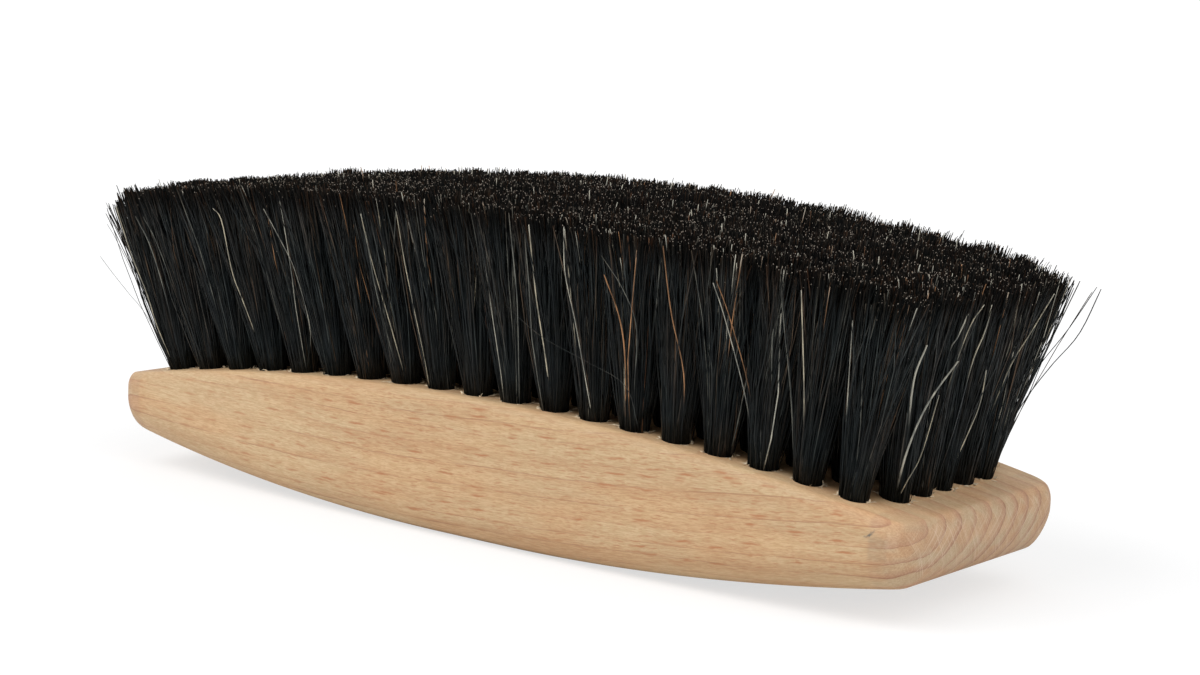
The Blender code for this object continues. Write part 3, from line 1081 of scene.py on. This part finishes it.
def front_side(point):
    """y just before the bristles' front, at the point's x and height."""
    foot = outer_row(point.x) + TUFT_RADIUS
    return -foot - (trim_half_width(point.x) - foot) * bristle_share(point.x, point.z) - STRAY_GAP


def right_side(point):
    """x just past the bristles' right end, at the point's height."""
    return INNER_REACH + TUFT_RADIUS + END_FLARE * bristle_share(INNER_REACH, point.z) + STRAY_GAP


def seen_point(pixel, axis, side):
    """Point that shows at a pixel of the photograph and lies where side gives its x (axis 0) or y (axis 1)."""
    place, right, up, forward = camera_frame()
    across = (pixel[0] - PHOTO_WIDTH / 2) / FOCAL_PIXELS
    rise = (PHOTO_HEIGHT / 2 - pixel[1]) / FOCAL_PIXELS
    way = forward + right * across + up * rise
    distance = CAMERA_DISTANCE
    for _ in range(SIGHT_STEPS):
        point = place + way * distance
        distance += (side(point) - point[axis]) / way[axis] * SIGHT_STEP_SHARE
    return place + way * distance


def seen_path(root, stand, pixels, axis, side):
    """The hair's points in millimetres, from its root to its tip, which is its stand off the bristles."""
    toward = -camera_frame()[3]
    points = [root / MM]
    for index, pixel in enumerate(pixels, 1):
        share = math.sqrt(index / len(pixels))
        points.append(np.array(seen_point(pixel, axis, side) / MM + toward * stand * share))
    return points


def front_root(x):
    """Root of a hair on the front of the brush, just inside the rim of its tuft."""
    return np.array([x, ROOT_SINK - outer_row(x) - TUFT_RADIUS, face_level(x) + ROOT_RISE])


def end_root(y, end):
    """Root of a hair at an end of the brush, where it leaves the tuft that is nearest to y."""
    tufts = [root_place(end * HALF_RANKS, row - HALF_ROWS) for row in range(ROWS)]
    tuft_x, tuft_y = min(tufts, key=lambda tuft: abs(tuft[1] - y))
    x = tuft_x + end * math.sqrt(max(0, END_ROOT_RADIUS ** 2 - (y - tuft_y) ** 2))
    return np.array([x, y, face_level(x) + ROOT_RISE])


def stray_paths():
    """Looks and points of each stray hair, with the axis across the side that its root is on."""
    for *looks, root, stand, pixels in FRONT_STRAYS:
        yield looks, seen_path(front_root(root * MM), stand, pixels, 1, front_side), 1
    for *looks, root, stand, pixels in END_STRAYS:
        yield looks, seen_path(end_root(root * MM, 1), stand, pixels, 0, right_side), 0
    for *looks, root, y, pixels in LOOSE_STRAYS:
        end = math.copysign(1, pixels[0][0] - PHOTO_WIDTH / 2)
        yield looks, seen_path(end_root(root * MM, end), 0, pixels, 1, lambda point: y * MM), 0


def smooth_path(points, levels):
    """Points spaced evenly in parameter on a curve through the given points."""
    points = np.array(points, float)
    padded = np.concatenate([2 * points[:1] - points[1:2], points, 2 * points[-1:] - points[-2:-1]])
    places = np.linspace(0, len(points) - 1, levels)
    first = np.minimum(places.astype(int), len(points) - 2)
    t = (places - first)[:, None]
    a, b, c, d = (padded[first + step] for step in range(4))
    slope, bend, twist = c - a, 2 * a - 5 * b + 4 * c - d, 3 * b - a - 3 * c + d
    return 0.5 * (2 * b + slope * t + bend * t ** 2 + twist * t ** 3)


def add_strays(horsehair):
    """The light and loose hairs that lie over the tufts, each rooted in one of them."""
    rng = np.random.default_rng(7200)
    tubes = TubeMesh()
    heights = np.linspace(0, STRAY_HEIGHT, STRAY_LEVELS + 1)
    strays = list(stray_paths())
    for index, ((tone, thickness, light_from), points, axis) in enumerate(strays):
        path = smooth_path(points, STRAY_LEVELS)
        tuck = STRAY_TUCK * np.linspace(1, 0, STRAY_LEVELS) ** 2
        path[:, axis] -= math.copysign(1, points[0][axis]) * tuck
        path = np.concatenate([[path[0] - STRAY_DEPTH], path])[None] * MM
        rings = hair_rings(path, np.array([thickness * MM]), rng)
        tone_value = np.array([HAIR_TONES[tone]])
        tubes.add(rings, tone_value, np.array([light_from]), heights, np.array([index]), len(strays))
    item = tubes.finish("horsehair_strays", horsehair)
    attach(item, "root")


# Torn wood at the rims of the outer holes. A turn is away from the block's length, as mean and spread
TORN_LIGHT = (0.76, 0.655, 0.48)
TORN_DARK = (0.62, 0.47, 0.31)
TORN_GRAIN = (0.8, 3.0, 3.0)
FIBRE_LEVELS = np.array([0.0, 0.35, 0.7, 1.0])
FIBRE_SIDES = 4
FIBRE_TAPER = 0.85
FIBRE_SINK = 0.0001
FIBRE_LEAST_HEIGHT = 0.00008
RIM_REACH = (0.00005, 0.00035)
CLUMP = {
    "count": 4, "turn": (0.35, 0.30), "length": (0.0006, 0.0013), "width": (0.00030, 0.00058), "lift": 0.5,
}
SPLINTER = {
    "count": 11, "turn": (0, 0.75), "length": (0.0006, 0.0020), "width": (0.00012, 0.00030), "lift": 0.0,
}


def fibre_material():
    """Torn beech, paler than the sanded face."""
    material, nodes = new_nodes("beech_torn")
    shade = nodes.noise(nodes.millimetres(), TORN_GRAIN)
    nodes.surface({
        "Base Color": nodes.mix(nodes.step(shade, 0.3, 0.7), TORN_LIGHT, TORN_DARK),
        "Roughness": nodes.step(shade, 0.0, 1.0, 0.7, 0.9),
        "Normal": nodes.bump(shade, 0.4, 0.0001), "Specular IOR Level": 0.2,
    })
    return material


def fibre_rings(rank, row, kind, rng):
    """One splinter or clump of torn grain: it leans out of its hole and curls down to the face."""
    x, y = root_place(rank, row)
    turn = math.pi * (rng.random() < 0.5) + rng.normal(*kind["turn"])
    reach = TUFT_RADIUS + rng.uniform(*RIM_REACH)
    foot_x, foot_y = x + reach * math.cos(turn), y + reach * math.sin(turn)
    foot = np.array([foot_x, foot_y, face_level(foot_x) - FIBRE_SINK])
    length = rng.uniform(*kind["length"])
    lean = np.array([rng.normal(0, 0.6), rng.normal(0, 0.6), rng.uniform(0.20, 0.75) + kind["lift"]])
    lean += 0.8 * np.array([math.cos(turn), math.sin(turn), 0])
    lean *= length / np.linalg.norm(lean)
    curl = np.array([rng.normal(0, 0.25), rng.normal(0, 0.25), -0.35]) * length
    path = foot + FIBRE_LEVELS[:, None] * lean + FIBRE_LEVELS[:, None] ** 2 * curl
    path[:, 2] = np.maximum(path[:, 2], [face_level(along) - FIBRE_LEAST_HEIGHT for along in path[:, 0]])
    width = rng.uniform(*kind["width"]) * (1 - FIBRE_TAPER * FIBRE_LEVELS)
    angles = rng.uniform(0, math.tau) + np.arange(FIBRE_SIDES) * math.tau / FIBRE_SIDES
    around = np.stack([np.cos(angles), np.sin(angles), 0.6 * np.sin(angles + 1.0)], 1)
    return (path[:, None] + around[None] * width[:, None, None])[None]


def add_fibres():
    """Torn grain at the rims of the outer holes, most where the drill crosses the grain."""
    rng = np.random.default_rng(7300)
    tubes = TubeMesh()
    holes = [(rank - HALF_RANKS, row - HALF_ROWS) for rank in range(RANKS) for row in range(ROWS)]
    kinds = [CLUMP] * CLUMP["count"] + [SPLINTER] * SPLINTER["count"]
    pieces = [(hole, kind) for hole in holes if outermost(*hole) for kind in kinds]
    for index, ((rank, row), kind) in enumerate(pieces):
        rings = fibre_rings(rank, row, kind, rng)
        tubes.add(rings, np.zeros(1), np.zeros(1), FIBRE_LEVELS, np.array([index]), len(pieces))
    item = tubes.finish("torn_fibres", fibre_material())
    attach(item, "root")


def main():
    bpy.context.scene.view_settings.view_transform = "Standard"
    add_camera()
    add_floor()
    add_light()
    add_block(beech_material())
    horsehair = hair_material()
    for number in range(1, RANKS + 1):
        add_rank(number, horsehair)
    add_strays(horsehair)
    add_fibres()


main()
